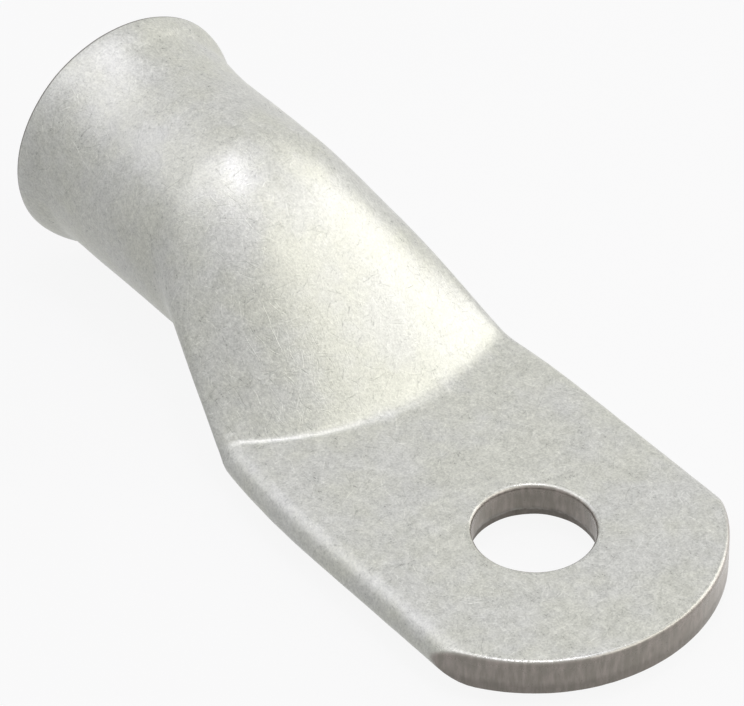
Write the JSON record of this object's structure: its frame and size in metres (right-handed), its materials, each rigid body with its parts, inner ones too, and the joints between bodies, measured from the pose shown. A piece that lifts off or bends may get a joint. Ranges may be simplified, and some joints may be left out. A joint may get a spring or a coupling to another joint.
{
  "type": "cable lug",
  "caption": "Heavy cable lug pressed from one copper tube: flared round barrel for the cable, sloping pressed neck and flat palm with a punched stud hole.",
  "frame": {"origin": "centre of the stud hole, halfway through the palm, where the tube's two pressed walls meet", "axes": "+X along the barrel from the stud hole to the open mouth, +Z along the stud hole, on the side where the barrel stands proud of the palm, +Y across the palm"},
  "size_m": [0.0761, 0.031, 0.0236],
  "materials": {
    "tinned_copper": "matt tin plate over copper, fine grained, with light handling scratches"
  },
  "bodies": {
    "root": {"cable_lug": "tinned_copper"}
  },
  "joints": []
}
